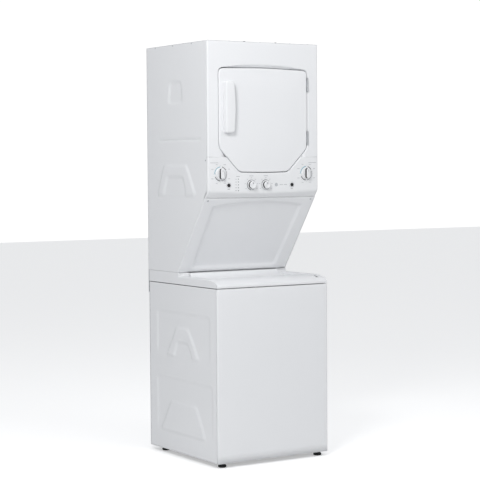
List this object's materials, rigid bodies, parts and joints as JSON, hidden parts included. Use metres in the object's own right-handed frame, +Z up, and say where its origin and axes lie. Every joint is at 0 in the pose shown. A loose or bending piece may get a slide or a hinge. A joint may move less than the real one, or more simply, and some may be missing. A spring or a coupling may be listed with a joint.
{
  "type": "stacked washer and dryer",
  "caption": "Full-height stacked laundry unit: a top-loading washer with a hinged lid below a front-loading vented dryer with a side-hinged door, knobs between.",
  "frame": {"origin": "on the floor at the centre of the footprint", "axes": "+Z up, -Y out of the front where the door and knobs are, +X to the right as seen from the front"},
  "size_m": [0.603, 0.634, 1.92],
  "materials": {
    "enamel": "gloss white enamel on sheet steel",
    "white_plastic": "satin white moulded plastic",
    "black_plastic": "matte black moulded plastic",
    "grey_plastic": "matte light grey moulded plastic",
    "stainless_steel": "brushed steel sheet",
    "zinc_steel": "zinc-coated steel with a faint spangle",
    "cast_aluminium": "rough cast metal",
    "rubber": "matte black rubber",
    "felt": "pressed grey felt"
  },
  "bodies": {
    "cabinet": {"base_frame": "zinc_steel", "washer_front_panel": "enamel", "washer_left_panel": "enamel", "washer_right_panel": "enamel", "washer_rear_panel": "zinc_steel", "washer_top_cover": "enamel", "outer_tub": "grey_plastic", "tub_cover_ring": "grey_plastic", "suspension_rod_front_left": "zinc_steel", "suspension_rod_front_right": "zinc_steel", "suspension_rod_rear_left": "zinc_steel", "suspension_rod_rear_right": "zinc_steel", "gearcase": "cast_aluminium", "washer_motor": "cast_aluminium", "washer_belt": "rubber", "drain_pump": "black_plastic", "water_inlet_valve": "black_plastic", "dryer_left_panel": "enamel", "dryer_right_panel": "enamel", "dryer_top_panel": "enamel", "dryer_rear_panel": "zinc_steel", "dryer_front_panel": "enamel", "dryer_floor": "zinc_steel", "control_panel": "white_plastic", "service_panel": "enamel", "terminal_cover": "zinc_steel", "front_bulkhead": "zinc_steel", "rear_bulkhead": "zinc_steel", "heater_housing": "zinc_steel", "dryer_motor": "cast_aluminium", "drum_belt": "rubber", "blower_housing": "zinc_steel", "exhaust_duct": "zinc_steel", "door_hinge_upper_frame_leaf": "zinc_steel", "door_hinge_lower_frame_leaf": "zinc_steel"},
    "lid": {"washer_lid": "enamel"},
    "basket": {"wash_basket": "stainless_steel"},
    "agitator": {"agitator": "grey_plastic"},
    "drive_pulley": {"drive_pulley": "cast_aluminium"},
    "motor_pulley": {"washer_motor_pulley": "cast_aluminium"},
    "foot_front_left": {"levelling_foot_front_left": "rubber"},
    "foot_front_right": {"levelling_foot_front_right": "rubber"},
    "foot_rear_left": {"levelling_foot_rear_left": "rubber"},
    "foot_rear_right": {"levelling_foot_rear_right": "rubber"},
    "door": {"door_outer_panel": "enamel", "door_inner_panel": "white_plastic", "door_handle": "white_plastic", "door_seal": "felt", "door_hinge_upper_door_leaf": "zinc_steel", "door_hinge_lower_door_leaf": "zinc_steel"},
    "drum": {"drum": "stainless_steel"},
    "idler": {"idler_pulley": "black_plastic"},
    "blower": {"blower_wheel": "zinc_steel"},
    "lint_filter": {"lint_filter": "grey_plastic"},
    "washer_cycle_knob": {"washer_cycle_knob": "white_plastic"},
    "dryer_cycle_knob": {"dryer_cycle_knob": "white_plastic"},
    "water_temperature_knob": {"water_temperature_knob": "white_plastic"},
    "load_size_knob": {"load_size_knob": "white_plastic"},
    "washer_start_button": {"washer_start_button": "black_plastic"},
    "dryer_start_button": {"dryer_start_button": "black_plastic"}
  },
  "joints": [
    {"name": "dryer_door_swing", "type": "hinge", "parent": "cabinet", "child": "door", "pos_m": [0.242, -0.244, 1.60875], "axis": [0, 0, 1], "range_deg": [0, 120]},
    {"name": "washer_lid_swing", "type": "hinge", "parent": "cabinet", "child": "lid", "pos_m": [0, 0.035, 0.855], "axis": [-1, 0, 0], "range_deg": [0, 50]},
    {"name": "basket_spin", "type": "hinge", "parent": "cabinet", "child": "basket", "pos_m": [0, -0.005, 0.49], "axis": [0, 0, 1], "continuous": true},
    {"name": "drive_pulley_spin", "type": "hinge", "parent": "cabinet", "child": "drive_pulley", "pos_m": [0, -0.005, 0.092], "axis": [0, 0, 1], "continuous": true},
    {"name": "motor_pulley_spin", "type": "hinge", "parent": "cabinet", "child": "motor_pulley", "pos_m": [0, -0.17, 0.092], "axis": [0, 0, 1], "continuous": true},
    {"name": "agitator_turn", "type": "hinge", "parent": "cabinet", "child": "agitator", "pos_m": [0, -0.005, 0.45], "axis": [0, 0, 1], "continuous": true},
    {"name": "drum_spin", "type": "hinge", "parent": "cabinet", "child": "drum", "pos_m": [0, 0.043, 1.565], "axis": [0, 1, 0], "continuous": true},
    {"name": "blower_spin", "type": "hinge", "parent": "cabinet", "child": "blower", "pos_m": [0.12, 0.024, 0.96], "axis": [0, 1, 0], "continuous": true},
    {"name": "idler_spin", "type": "hinge", "parent": "cabinet", "child": "idler", "pos_m": [0.02377, 0.024, 1.02528], "axis": [0, 1, 0], "continuous": true},
    {"name": "lint_filter_lift", "type": "slide", "parent": "cabinet", "child": "lint_filter", "axis": [0, 0, 1], "range_m": [0, 0.1]},
    {"name": "washer_cycle_knob_turn", "type": "hinge", "parent": "cabinet", "child": "washer_cycle_knob", "pos_m": [-0.234, -0.244, 1.322], "axis": [0, 1, 0], "continuous": true},
    {"name": "dryer_cycle_knob_turn", "type": "hinge", "parent": "cabinet", "child": "dryer_cycle_knob", "pos_m": [0.234, -0.244, 1.322], "axis": [0, 1, 0], "continuous": true},
    {"name": "water_temperature_knob_turn", "type": "hinge", "parent": "cabinet", "child": "water_temperature_knob", "pos_m": [-0.07, -0.244, 1.271], "axis": [0, 1, 0], "range_deg": [-120, 120]},
    {"name": "load_size_knob_turn", "type": "hinge", "parent": "cabinet", "child": "load_size_knob", "pos_m": [0.008, -0.244, 1.271], "axis": [0, 1, 0], "range_deg": [-120, 120]},
    {"name": "washer_start_press", "type": "slide", "parent": "cabinet", "child": "washer_start_button", "axis": [0, 1, 0], "range_m": [0, 0.0025], "stiffness_N_per_m": 600},
    {"name": "dryer_start_press", "type": "slide", "parent": "cabinet", "child": "dryer_start_button", "axis": [0, 1, 0], "range_m": [0, 0.0025], "stiffness_N_per_m": 600},
    {"name": "foot_front_left_turn", "type": "hinge", "parent": "cabinet", "child": "foot_front_left", "pos_m": [-0.262, -0.285, 0.02], "axis": [0, 0, 1], "continuous": true},
    {"name": "foot_front_right_turn", "type": "hinge", "parent": "cabinet", "child": "foot_front_right", "pos_m": [0.262, -0.285, 0.02], "axis": [0, 0, 1], "continuous": true},
    {"name": "foot_rear_left_turn", "type": "hinge", "parent": "cabinet", "child": "foot_rear_left", "pos_m": [-0.262, 0.228, 0.02], "axis": [0, 0, 1], "continuous": true},
    {"name": "foot_rear_right_turn", "type": "hinge", "parent": "cabinet", "child": "foot_rear_right", "pos_m": [0.262, 0.228, 0.02], "axis": [0, 0, 1], "continuous": true}
  ],
  "couplings": [
    {"joint": "drive_pulley_spin", "follows": "basket_spin", "ratio": 1},
    {"joint": "motor_pulley_spin", "follows": "basket_spin", "ratio": 4.4},
    {"joint": "blower_spin", "follows": "drum_spin", "ratio": 20},
    {"joint": "idler_spin", "follows": "drum_spin", "ratio": -14}
  ]
}
